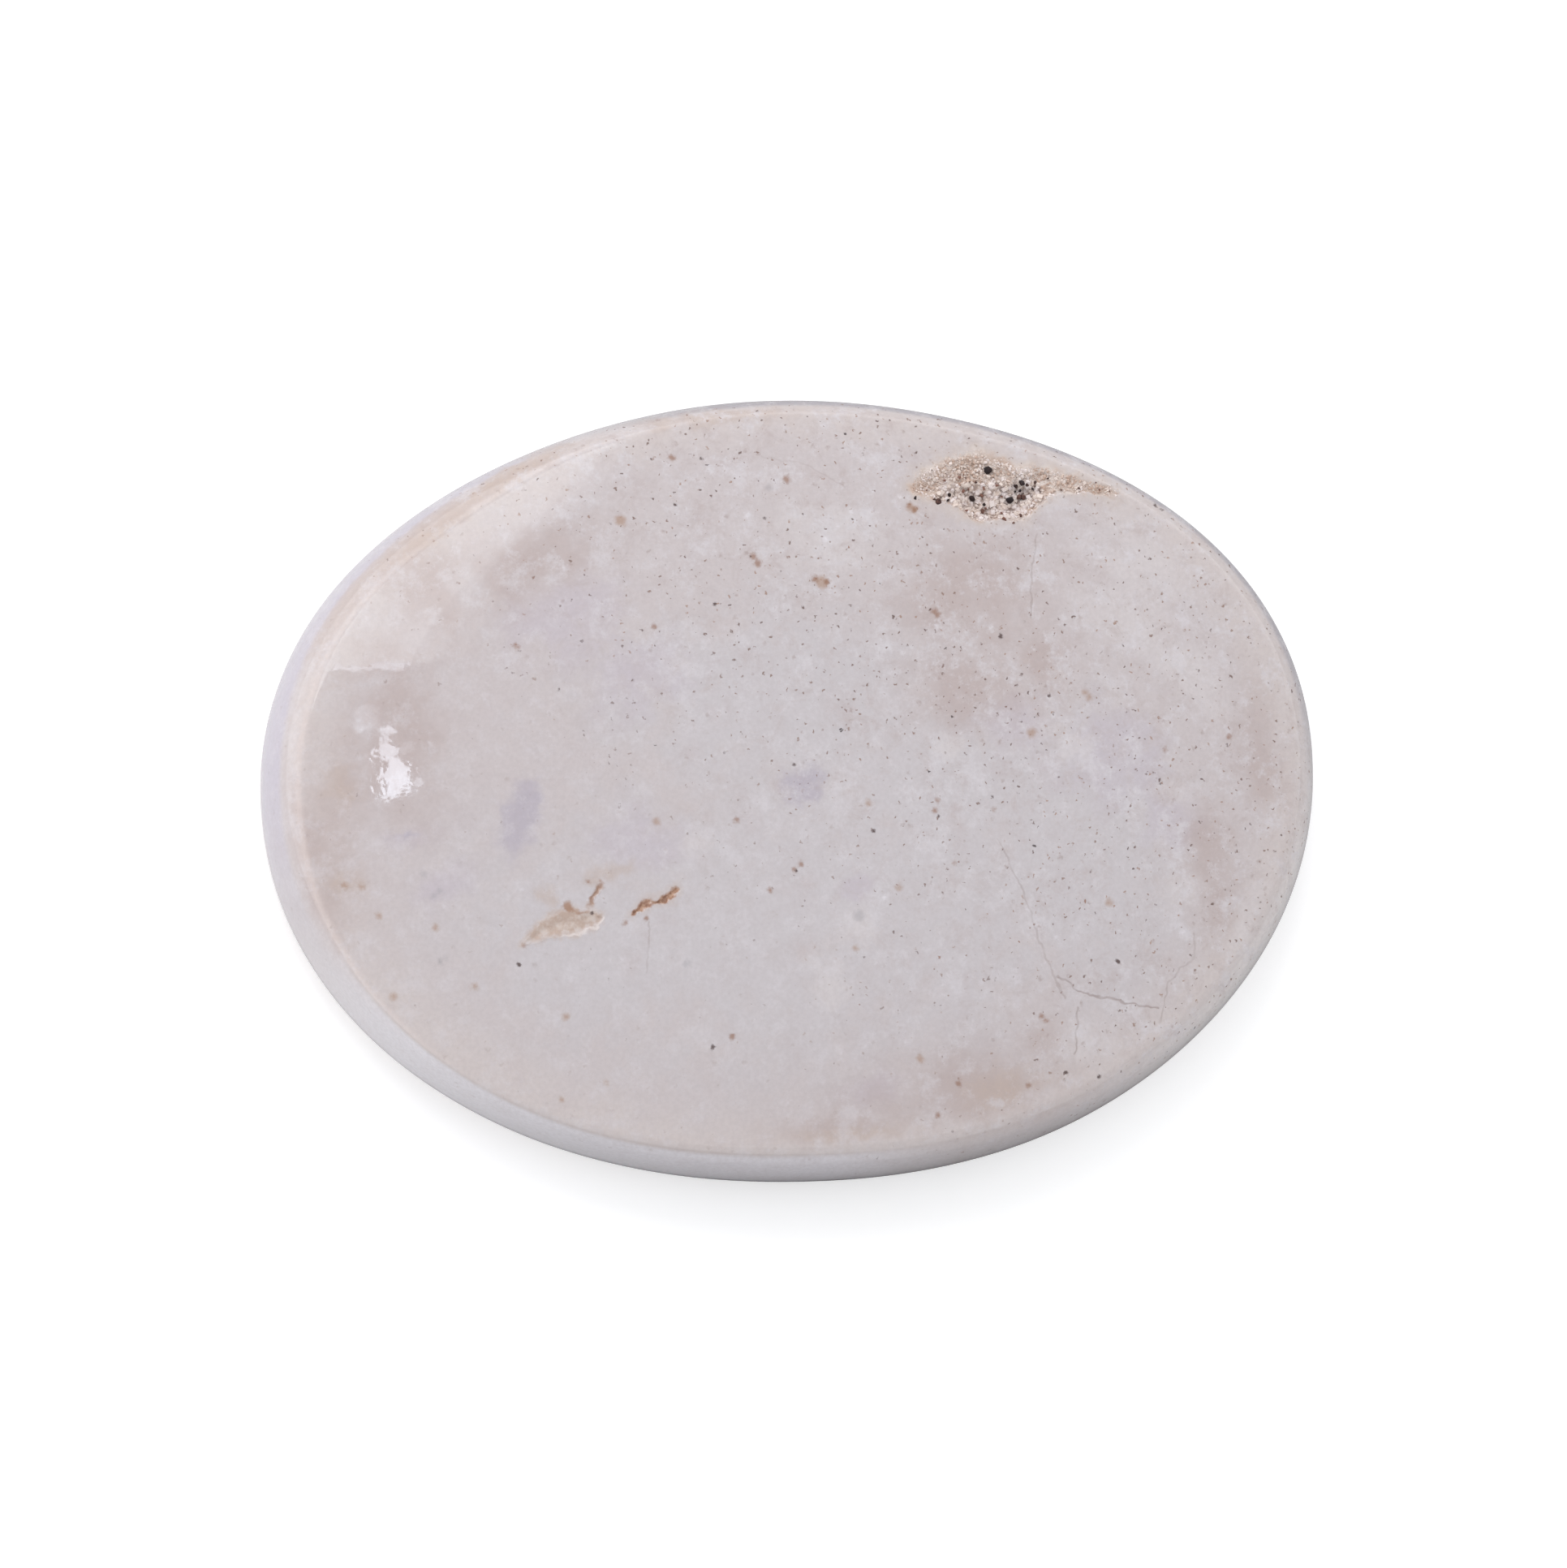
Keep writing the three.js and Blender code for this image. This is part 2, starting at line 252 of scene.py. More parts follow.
# The stone is milky at the lower left. It clears along this direction between these two distances
CLEARING_WAY = (0.8, 0.7)
CLEARING_REACH = (-13.0, 8.0)
LEAST_CLEARNESS = 0.04

# ---- The mesh. Distances are in millimetres ----

# The crown's rings, and how many more points each one has than the ring inside it
CROWN_RINGS = 108
RING_GROWTH = 6
RIDGE_RINGS = 9
WALL_RINGS = 14
BACK_EDGE_RINGS = 6
BACK_RINGS = 16
# Triangles are split once within each of these distances of a feature
NEAR_HOLLOWS = (0.45, 0.15)
NEAR_CRACKS = (0.22, 0.12)
NEAR_SPOTS = (0.2,)
# The top is where the surface's normal has more Z than this
TOP_NORMAL = 0.5
# How often a strayed share is corrected to find the even one
SHARE_ROUNDS = 10
# What a mark's reach or distance is where there can't be any mark
FAR = 9.0


def srgb(red, green, blue):
    """A colour from 0 to 255 as a material socket takes it."""
    shares = (red / 255, green / 255, blue / 255)
    linear = [s / 12.92 if s <= 0.04045 else ((s + 0.055) / 1.055) ** 2.4 for s in shares]
    return (*linear, 1.0)


# ==== Shapes ====


def outline_radius(angle):
    """Distance from the middle to the outline at the girdle, in the direction of an angle."""
    across = np.abs(np.cos(angle)) / (LENGTH / 2)
    along = np.abs(np.sin(angle)) / (WIDTH / 2)
    oval = (across**OUTLINE_SQUARENESS + along**OUTLINE_SQUARENESS) ** (-1 / OUTLINE_SQUARENESS)
    strays = sum(c * np.cos(n * angle) + s * np.sin(n * angle) for n, c, s in OUTLINE_WAVES)
    return oval * (1 + strays)


def crown_height(share):
    """Height of the crown at a share of the outline."""
    to_ridge = np.minimum(share / RIDGE_SHARE, 1)
    return RIDGE_HEIGHT + (CROWN_HEIGHT - RIDGE_HEIGHT) * (1 - to_ridge**CROWN_FULLNESS)


def crown_height_at(x, y):
    return crown_height(np.hypot(x, y) / outline_radius(np.arctan2(y, x)))


def wall_point(turned):
    """Share of the outline and height on the wall, from 0 at the girdle to 1 at the ridge."""
    turn = turned * WALL_TURN
    inset = (1 - RIDGE_SHARE) / (1 - math.cos(WALL_TURN))
    rise = (RIDGE_HEIGHT - GIRDLE_HEIGHT) / math.sin(WALL_TURN)
    return 1 - inset * (1 - math.cos(turn)), GIRDLE_HEIGHT + rise * math.sin(turn)


def steps(count):
    """Evenly spaced shares above 0, up to 1."""
    return [(i + 1) / count for i in range(count)]


def stone_section():
    """The stone's rings from its top to its back: share of the outline, height and points."""
    crown_end = RIDGE_SHARE - RIDGE_ROUND_CROWN
    rings = []
    for s in steps(CROWN_RINGS):
        share = crown_end * s
        rings.append((share, crown_height(share), round(RING_GROWTH * CROWN_RINGS * s)))
    around = rings[-1][2]
    start = np.array([crown_end, crown_height(crown_end)])
    corner = np.array([RIDGE_SHARE, RIDGE_HEIGHT])
    end = np.array(wall_point(1 - RIDGE_ROUND_WALL))
    for s in steps(RIDGE_RINGS):
        share, height = (1 - s) ** 2 * start + 2 * s * (1 - s) * corner + s**2 * end
        rings.append((share, height, around))
    for s in steps(WALL_RINGS):
        share, height = wall_point((1 - s) * (1 - RIDGE_ROUND_WALL))
        rings.append((share, height, around))
    for s in steps(BACK_EDGE_RINGS):
        turn = (1 - s) * math.pi / 2
        share = BACK_SHARE + (1 - BACK_SHARE) * math.sin(turn)
        rings.append((share, GIRDLE_HEIGHT * (1 - math.cos(turn)), around))
    for s in steps(BACK_RINGS)[:-1]:
        rings.append((BACK_SHARE * (1 - s), 0.0, round(around * (1 - s))))
    return rings


def degrees_away(angle, middle):
    """How far an angle lies from a middle one in degrees, from 0 to 180."""
    return np.abs((np.degrees(angle) - middle + 180) % 360 - 180)


def strayed_share(share, angle):
    """A share of the outline moved as the ridge strays, less towards the middle and the girdle."""
    stray = np.zeros(np.shape(angle))
    for middle, reach, most in RIDGE_STRAYS:
        away = np.minimum(degrees_away(angle, middle) / reach, 1)
        stray += most * 0.5 * (1 + np.cos(np.pi * away))
    on_crown = smooth_step(share, RIDGE_SHARE - STRAY_FADE, RIDGE_SHARE)
    on_wall = (1 - share) / (1 - RIDGE_SHARE)
    return share + stray * np.where(share < RIDGE_SHARE, on_crown, on_wall)


def even_share(share, angle):
    """The share that a strayed share came from."""
    even = share
    for _ in range(SHARE_ROUNDS):
        even = share - (strayed_share(even, angle) - even)
    return even


def ring_points(share, height, count):
    angle = np.arange(count) * 2 * math.pi / count
    shares = strayed_share(share, angle) if height > GIRDLE_HEIGHT else share
    radius = shares * outline_radius(angle)
    return np.stack([radius * np.cos(angle), radius * np.sin(angle), np.full(count, height)], 1)


def stitch(first, first_count, second, second_count):
    """Triangles between two rings that start at the same angle. A ring of 0 is one point."""
    triangles = []
    i = j = 0
    while i < first_count or j < second_count:
        here = first + (i % first_count if first_count else 0)
        there = second + (j % second_count if second_count else 0)
        first_is_behind = i < first_count and (i + 1) * second_count <= (j + 1) * first_count
        if first_is_behind or j == second_count:
            i += 1
            triangles.append((here, there, first + i % first_count))
        else:
            j += 1
            triangles.append((here, there, second + j % second_count))
    return triangles


def stone_blank():
    """The smooth stone, before its hollows, as a bmesh in millimetres."""
    rings = stone_section()
    points = [np.array([[0, 0, CROWN_HEIGHT]])]
    faces = []
    start, count = 0, 0
    for share, height, next_count in rings:
        next_start = start + max(count, 1)
        faces += stitch(start, count, next_start, next_count)
        points.append(ring_points(share, height, next_count))
        start, count = next_start, next_count
    points.append(np.zeros((1, 3)))
    faces += stitch(start, count, start + count, 0)
    bm = bmesh.new()
    verts = [bm.verts.new(p) for p in np.concatenate(points)]
    for face in faces:
        bm.faces.new([verts[k] for k in face])
    bmesh.ops.recalc_face_normals(bm, faces=bm.faces)
    return bm


def segment_distance(x, y, start, end):
    """Distance of points to a segment, and how far along it the nearest place is."""
    dx, dy = end[0] - start[0], end[1] - start[1]
    along = np.clip(((x - start[0]) * dx + (y - start[1]) * dy) / (dx * dx + dy * dy), 0, 1)
    return np.hypot(x - start[0] - along * dx, y - start[1] - along * dy), along


def inside_stroke(x, y, stroke):
    """How far inside a stroke each point lies, in millimetres, and less than 0 outside."""
    reach = np.full(np.shape(x), -np.inf)
    for start, end in zip(stroke, stroke[1:]):
        distance, along = segment_distance(x, y, start, end)
        reach = np.maximum(reach, start[2] + (end[2] - start[2]) * along - distance)
    return reach


def nearest_crack(x, y):
    """Distance to the nearest crack, and how dark that crack is."""
    nearest = np.full(np.shape(x), np.inf)
    darkness = np.zeros(np.shape(x))
    for dark, crack in CRACKS:
        for start, end in zip(crack, crack[1:]):
            distance, _ = segment_distance(x, y, start, end)
            darkness = np.where(distance < nearest, dark, darkness)
            nearest = np.minimum(nearest, distance)
    return nearest, darkness


def inside_spots(x, y, spots):
    """How far inside the nearest of a list of round spots each point lies, in millimetres."""
    reach = np.full(np.shape(x), -np.inf)
    for spot_x, spot_y, radius in spots:
        reach = np.maximum(reach, radius - np.hypot(x - spot_x, y - spot_y))
    return reach


def cloud_cover(x, y, clouds):
    """From 0 outside a list of soft clouds to 1 in the middle of one."""
    cover = np.zeros(np.shape(x))
    for cloud_x, cloud_y, length, width, turn in clouds:
        c, s = math.cos(math.radians(turn)), math.sin(math.radians(turn))
        along = ((x - cloud_x) * c + (y - cloud_y) * s) / (length / 2)
        across = ((y - cloud_y) * c - (x - cloud_x) * s) / (width / 2)
        cover = np.maximum(cover, np.exp(-(along**2 + across**2)))
    return cover


def ripple(points, wavelength, seed):
    """Smooth noise from about -1 to 1 at points in millimetres."""
    offset = Vector([seed * step for step in SEED_STEPS])
    return np.array([noise.noise(Vector(p) / wavelength + offset) for p in points])


def waves(points, sizes, seeds, start=0.0):
    """Ripples added to start, each with a reach, a wavelength and a seed."""
    ripples = [reach * ripple(points, length, seed) for (reach, length), seed in zip(sizes, seeds)]
    return sum(ripples, start=start)


def smooth_step(value, low, high):
    t = np.clip((value - low) / (high - low), 0, 1)
    return t * t * (3 - 2 * t)


def hollow_drops(points):
    """How deep the top is hollowed at each point, and how far inside each hollow it lies."""
    x = waves(points, EDGE_WAVES, (1, 2), points[:, 0])
    y = waves(points, EDGE_WAVES, (3, 4), points[:, 1])
    rough = waves(points, BED_WAVES, (5, 6))
    vug_tail = 1 - VUG_TAIL_LOSS * smooth_step(x, *VUG_TAIL)
    drop = np.zeros(len(points))
    reaches = {}
    for name, (stroke, start, end, depth, roughness) in HOLLOWS.items():
        reaches[name] = inside_stroke(x, y, stroke)
        if name in STEEP_SIDES:
            (line_x, line_y), lean, steep_side, narrower = STEEP_SIDES[name]
            below_line = lean * (x - line_x) - (y - line_y)
            end = end - narrower * smooth_step(below_line, *steep_side)
        bed = smooth_step(reaches[name], start, end) * (depth + roughness * rough)
        drop += bed * vug_tail if name == "vug" else bed
    iron = reaches["iron"]
    stain = inside_stroke(x - STAIN_SHIFT[0], y - STAIN_SHIFT[1], IRON_PIT)
    reaches["stain"] = np.minimum(iron, stain)
    reaches["lip"] = (iron - reaches["stain"]) * smooth_step(x, *LIP_START)
    reaches["blotch"] = np.maximum(reaches.pop("branch"), inside_stroke(x, y, IRON_BLOTCH))
    return drop, reaches


def refine(bm, distance_to_feature, reaches):
    """Splits the triangles of the crown near a feature, once within each of a row of distances."""
    for reach in reaches:
        faces = [f for f in bm.faces if f.normal.z > TOP_NORMAL]
        middles = np.array([f.calc_center_median() for f in faces])
        wanted = distance_to_feature(middles[:, 0], middles[:, 1]) < reach
        edges = {e for f, want in zip(faces, wanted) if want for e in f.edges}
        bmesh.ops.subdivide_edges(bm, edges=list(edges), cuts=1, use_grid_fill=True)
        bmesh.ops.triangulate(bm, faces=[f for f in bm.faces if len(f.verts) > 3])
        bm.normal_update()


def refine_stone(bm):
    """Splits the stone's triangles at the hollows, the cracks and the spots."""
    hollows = (VUG, IRON_PIT, IRON_BRANCH, WORM_PIT)
    spots = sum(SPOTS.values(), [])

    def to_hollows(x, y):
        return -np.maximum.reduce([inside_stroke(x, y, stroke) for stroke in hollows])

    refine(bm, to_hollows, NEAR_HOLLOWS)
    refine(bm, lambda x, y: nearest_crack(x, y)[0], NEAR_CRACKS)
    refine(bm, lambda x, y: -inside_spots(x, y, spots), NEAR_SPOTS)


def set_attribute(mesh, name, values):
    layer = mesh.attributes.new(name, "FLOAT", "POINT")
    layer.data.foreach_set("value", np.asarray(values, np.float32))


def finish_piece(piece, material, slot, *nodes):
    """Gives a piece its material, ties it to its body and hides the parts that it stands for. The
    slot is not used.
    """
    piece.data.materials.append(material)
    piece.data.polygons.foreach_set("use_smooth", [True] * len(piece.data.polygons))
    bpy.context.collection.objects.link(piece)
    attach(piece, "root")
    if nodes:
        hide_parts(*nodes)


def mark_rim(mesh, points):
    """Keeps each point's share of the outline and its place in the bands of the rim."""
    x, y, z = points.T
    angle = np.arctan2(y, x)
    share = even_share(np.hypot(x, y) / outline_radius(angle), angle)
    set_attribute(mesh, "outline_share", share)
    above_back = smooth_step(z, *BAND_HEIGHTS)
    for name, (start, end, inner, outer) in RIM_BANDS.items():
        away = degrees_away(angle, (start + end) / 2)
        along = 1 - smooth_step(away, (end - start) / 2 - BAND_END_FADE, (end - start) / 2)
        across = smooth_step(share, inner - BAND_FADE_OUTSIDE, inner + BAND_FADE_INSIDE)
        across -= smooth_step(share, outer - BAND_FADE_INSIDE, outer + BAND_FADE_OUTSIDE)
        set_attribute(mesh, name, along * across * above_back)


def make_stone(material):
    """The polished stone. Its mesh keeps where the marks and clouds are, for its material."""
    bm = stone_blank()
    refine_stone(bm)
    points = np.array([v.co for v in bm.verts])
    normals = np.array([v.normal for v in bm.verts])
    on_top = normals[:, 2] > TOP_NORMAL
    drop, reaches = hollow_drops(points)
    stray_x = waves(points, CRACK_WAVES, (7, 11))
    stray_y = waves(points, CRACK_WAVES, (8, 12))
    crack, darkness = nearest_crack(points[:, 0] + stray_x, points[:, 1] + stray_y)
    polish = waves(points, POLISH_WAVES, (9, 10))
    groove = CRACK_DEPTH * darkness * (1 - smooth_step(crack, 0.0, CRACK_HALF_WIDTH)) * on_top
    points += normals * (polish - groove)[:, None]
    points[:, 2] -= np.where(on_top, drop, 0)
    points[:, 2] = np.maximum(points[:, 2], 0)
    for vert, point in zip(bm.verts, points):
        vert.co = point * MM
    mesh = bpy.data.meshes.new("polished_opal")
    bm.to_mesh(mesh)
    bm.free()
    x, y = points[:, 0], points[:, 1]
    for name, places in SPOTS.items():
        reaches[name] = inside_spots(x, y, places)
    for name, reach in reaches.items():
        set_attribute(mesh, name + "_reach", np.where(on_top, reach, -FAR))
    cloud_x, cloud_y = x + CLOUD_STRAY * stray_x, y + CLOUD_STRAY * stray_y
    for name, places in CLOUDS.items():
        set_attribute(mesh, name + "_cover", cloud_cover(cloud_x, cloud_y, places))
    set_attribute(mesh, "crack_distance", np.where(on_top, crack, FAR))
    set_attribute(mesh, "crack_darkness", darkness)
    clear = smooth_step(CLEARING_WAY[0] * x + CLEARING_WAY[1] * y, *CLEARING_REACH)
    set_attribute(mesh, "clearness", LEAST_CLEARNESS + (1 - LEAST_CLEARNESS) * clear)
    mark_rim(mesh, points)
    finish_piece(bpy.data.objects.new("polished_opal", mesh), material, "opal", "opal")


# ---- Crystals and dark grains in the vug. Sizes are in millimetres ----

# Crystals are tried at random places in this field, along X and along Y
CRYSTAL_TRIES = 8000
CRYSTAL_FIELD = ((4.4, 13.0), (8.9, 12.4))
# The core's crystals: how far inside it they start, and what share of the tries stays bare
CORE_START = (-0.2, 0.1)
CORE_BARE = 0.5
CORE_RADIUS = (0.04, 0.15)
CORE_TONE = (0.3, 1.0)
# The sand round them, which thins out over a distance from the vug's edge and is mostly fine
SAND_EDGE = 0.4
SAND_RADIUS = 0.02
SAND_RADIUS_SPREAD = 0.07
SAND_TONE = 0.28
SAND_TONE_SPREAD = (-0.3, 0.4)
PATCH_SIZE = 0.7
PATCH_TONE = 0.9
# Past this place along X all crystals are paler, by this much a millimetre
PALER_FROM = 8.0
PALER_BY = 0.05
# How far a crystal lies above the bed, in radii, and how it is stretched each way
CRYSTAL_LIFT = (-0.4, 0.6)
STRETCH = (0.55, 1.35)
# Dark grains are lumps with flats broken off. They rest on the crust, below the polish
LUMP_KINDS = 6
LUMP_FLATS = 8
FLAT_DISTANCE = (0.5, 0.8)
LUMP_WAVES = 0.06
CRUST_THICKNESS = 0.16
LUMP_LIFT = 0.5
LUMP_BELOW_POLISH = 0.35


def shape_of(bm):
    bmesh.ops.triangulate(bm, faces=bm.faces)
    verts = np.array([v.co for v in bm.verts])
    faces = np.array([[v.index for v in f.verts] for f in bm.faces])
    bm.free()
    return verts, faces


def crystal_shapes():
    """Shapes of about unit radius: a six-sided point, a slanted block and a chip."""
    point = bmesh.new()
    bmesh.ops.create_cone(point, cap_ends=True, segments=6, radius1=0.7, radius2=0.62, depth=1.3)
    bmesh.ops.poke(point, faces=[f for f in point.faces if f.normal.z > 0.9], offset=0.5)
    block = bmesh.new()
    bmesh.ops.create_cube(block, size=1.25)
    bmesh.ops.transform(block, matrix=Matrix.Shear("XY", 4, (0.35, 0.2)), verts=block.verts)
    chip = bmesh.new()
    bmesh.ops.create_icosphere(chip, subdivisions=1, radius=0.95)
    return [shape_of(bm) for bm in (point, block, chip)]


def random_way(rng):
    return Vector([rng.gauss(0, 1) for _ in range(3)])


def lump_shapes():
    """Rounded lumps of about unit radius with flats broken off them."""
    rng = random.Random(3)
    shapes = []
    for _ in range(LUMP_KINDS):
        lump = bmesh.new()
        bmesh.ops.create_icosphere(lump, subdivisions=3, radius=1.0)
        for _ in range(LUMP_FLATS):
            way = random_way(rng).normalized()
            flat = rng.uniform(*FLAT_DISTANCE)
            for vert in lump.verts:
                vert.co -= max(vert.co.dot(way) - flat, 0) * way
        for vert in lump.verts:
            vert.co *= 1 + LUMP_WAVES * noise.noise(vert.co * 4.0)
        shapes.append(shape_of(lump))
    return shapes


def scatter(name, placings, shapes, rng):
    """One mesh of many small grains. A placing is a point, a radius and a tone from 0 to 1."""
    all_verts, all_faces, all_tones = [], [], []
    start = 0
    for point, radius, tone in placings:
        verts, faces = rng.choice(shapes)
        turn = Matrix.Rotation(rng.uniform(0, 2 * math.pi), 3, random_way(rng))
        stretch = np.array([rng.uniform(*STRETCH) for _ in range(3)]) * radius
        all_verts.append((verts * stretch) @ np.array(turn).T + point)
        all_faces.append(faces + start)
        all_tones += [tone] * len(verts)
        start += len(verts)
    mesh = bpy.data.meshes.new(name)
    mesh.from_pydata(np.concatenate(all_verts) * MM, [], np.concatenate(all_faces))
    set_attribute(mesh, "tone", all_tones)
    return bpy.data.objects.new(name, mesh)


def bed_points(places):
    """Points of the vug's bed, and how far inside the vug and its core they are."""
    x, y = np.array(places).T
    points = np.stack([x, y, crown_height_at(x, y)], 1)
    drop, hollows = hollow_drops(points)
    points[:, 2] -= drop
    return points, hollows["vug"], hollows["core"]


def make_crystals(material):
    """Sugary crystals: large and white in the vug's core, and fine as sand on the band round it."""
    rng = random.Random(5)
    places = [[rng.uniform(*side) for side in CRYSTAL_FIELD] for _ in range(CRYSTAL_TRIES)]
    points, vug, core = bed_points(places)
    patches = ripple(points, PATCH_SIZE, 21)
    placings = []
    for point, inside, deep, patch in zip(points, vug, core, patches):
        in_core = deep > rng.uniform(*CORE_START)
        if inside < SAND_EDGE * rng.random() ** 2 or (in_core and rng.random() < CORE_BARE):
            continue
        if in_core:
            radius = rng.uniform(*CORE_RADIUS)
            tone = rng.uniform(*CORE_TONE)
        else:
            radius = SAND_RADIUS + SAND_RADIUS_SPREAD * rng.random() ** 2
            tone = SAND_TONE + PATCH_TONE * patch + rng.uniform(*SAND_TONE_SPREAD)
        tone += PALER_BY * max(point[0] - PALER_FROM, 0)
        top = crown_height_at(point[0], point[1])
        point[2] = min(point[2] + radius * rng.uniform(*CRYSTAL_LIFT), top - radius)
        placings.append((point, radius, tone))
    piece = scatter("vug_crystals", placings, crystal_shapes(), rng)
    finish_piece(piece, material, "vug_crust", "vug_crust")
    piece.data.polygons.foreach_set("use_smooth", [False] * len(piece.data.polygons))


# Dark grains in the vug: x, y, radius, and tone from 0 for black to 1 for red brown
DARK_GRAINS = [
    (7.84, 11.34, 0.18, 0.0), (9.1, 10.77, 0.15, 0.1), (8.87, 10.67, 0.11, 0.2),
    (9.03, 10.5, 0.1, 0.1), (8.85, 10.47, 0.08, 0.1), (8.6, 10.16, 0.15, 0.0),
    (8.95, 10.26, 0.12, 0.6), (9.1, 10.24, 0.1, 0.5), (9.3, 10.68, 0.08, 0.3),
    (7.14, 10.26, 0.11, 0.1), (6.8, 10.53, 0.1, 0.9), (7.0, 10.6, 0.05, 0.9),
    (6.24, 10.41, 0.08, 0.1), (6.14, 10.18, 0.09, 0.1), (5.74, 10.1, 0.13, 0.4),
    (5.6, 10.22, 0.07, 0.6), (4.88, 10.3, 0.09, 0.0), (5.64, 11.37, 0.04, 0.4),
    (6.68, 11.06, 0.06, 1.0), (6.86, 11.16, 0.04, 0.9), (6.1, 10.95, 0.07, 0.9),
    (7.3, 10.84, 0.06, 0.5), (7.6, 10.6, 0.08, 1.1), (7.52, 10.36, 0.07, 1.2),
    (8.1, 10.7, 0.07, 1.1), (7.57, 10.0, 0.07, 0.2), (7.5, 9.75, 0.09, 0.7),
    (7.62, 9.86, 0.09, 0.9), (6.8, 9.75, 0.08, 0.9), (9.5, 10.55, 0.08, 0.2),
    (9.6, 10.76, 0.06, 0.3), (9.16, 11.53, 0.04, 0.5), (10.13, 10.92, 0.05, 0.4),
    (8.9, 9.5, 0.08, 0.5), (8.56, 9.2, 0.08, 0.6), (8.22, 9.37, 0.08, 0.9), (8.2, 9.65, 0.06, 0.9),
    (10.6, 10.45, 0.04, 0.6), (11.3, 10.5, 0.05, 0.5), (12.0, 10.7, 0.05, 0.6),
    (12.1, 10.4, 0.05, 0.8), (12.5, 10.35, 0.04, 0.6), (6.5, 10.1, 0.05, 0.8),
    (5.35, 10.6, 0.04, 0.7), (8.3, 10.3, 0.05, 1.0), (9.35, 10.35, 0.06, 0.8),
]


def make_dark_grains(material):
    rng = random.Random(8)
    points, _, _ = bed_points([grain[:2] for grain in DARK_GRAINS])
    placings = []
    for point, (_, _, radius, tone) in zip(points, DARK_GRAINS):
        top = crown_height_at(point[0], point[1])
        resting = point[2] + CRUST_THICKNESS + LUMP_LIFT * radius
        point[2] = min(resting, top - LUMP_BELOW_POLISH * radius)
        placings.append((point, radius, tone))
    piece = scatter("vug_dark_grains", placings, lump_shapes(), rng)
    finish_piece(piece, material, "vug_crust")


# ==== Materials ====


def feed(tree, node, inputs):
    """Wires or sets a node's inputs by name or number."""
    for key, value in inputs.items():
        if isinstance(value, bpy.types.NodeSocket):
            tree.links.new(value, node.inputs[key])
        else:
            node.inputs[key].default_value = value


def add_node(tree, kind, inputs=None, **settings):
    """Adds a node, makes its settings, and feeds its inputs."""
    node = tree.nodes.new(kind)
    for name, value in settings.items():
        setattr(node, name, value)
    feed(tree, node, inputs or {})
    return node


def mix_colours(tree, factor, first, second):
    inputs = {0: factor, 6: first, 7: second}
    return add_node(tree, "ShaderNodeMix", inputs, data_type="RGBA").outputs[2]


def calculate(tree, operation, *values):
    return add_node(tree, "ShaderNodeMath", dict(enumerate(values)), operation=operation).outputs[0]


def multiply(tree, first, second):
    return calculate(tree, "MULTIPLY", first, second)


def vector_math(tree, operation, *vectors, **inputs):
    inputs = {**dict(enumerate(vectors)), **inputs}
    return add_node(tree, "ShaderNodeVectorMath", inputs, operation=operation).outputs[0]


def ease(tree, value, low, high, to_low=0.0, to_high=1.0):
    """A value eased from to_low at low to to_high at high, and held there outside them."""
    inputs = {
        "Value": value, "From Min": low, "From Max": high, "To Min": to_low, "To Max": to_high,
    }
    node = add_node(tree, "ShaderNodeMapRange", inputs, interpolation_type="SMOOTHSTEP")
    return node.outputs[0]


def attribute(tree, name):
    return add_node(tree, "ShaderNodeAttribute", attribute_name=name).outputs["Fac"]


def millimetre_coordinates(tree):
    place = add_node(tree, "ShaderNodeTexCoord").outputs["Object"]
    return vector_math(tree, "SCALE", place, Scale=1 / MM)


def cloudiness(tree, place, size, detail=2.0, roughness=0.5, distortion=0.0):
    """Noise from 0 to 1 whose lumps have a size in millimetres."""
    inputs = {
        "Vector": place, "Scale": 1 / size, "Detail": detail, "Roughness": roughness,
        "Distortion": distortion,
    }
    return add_node(tree, "ShaderNodeTexNoise", inputs).outputs["Fac"]


def bumped(tree, height, strength, distance, **inputs):
    """A normal bumped by a height, over a distance in millimetres."""
    inputs = {"Height": height, "Strength": strength, "Distance": distance * MM, **inputs}
    return add_node(tree, "ShaderNodeBump", inputs).outputs[0]


def new_group(name, inputs, outputs):
    """An empty shader node group with a Place in millimetres, named numbers and named outputs."""
    group = bpy.data.node_groups.new(name, "ShaderNodeTree")
    group.interface.new_socket("Place", in_out="INPUT", socket_type="NodeSocketVector")
    for label, value in inputs.items():
        socket = group.interface.new_socket(label, in_out="INPUT", socket_type="NodeSocketFloat")
        socket.default_value = value
    for label in outputs:
        group.interface.new_socket(label, in_out="OUTPUT", socket_type="NodeSocketFloat")
    return group, add_node(group, "NodeGroupInput").outputs, add_node(group, "NodeGroupOutput")


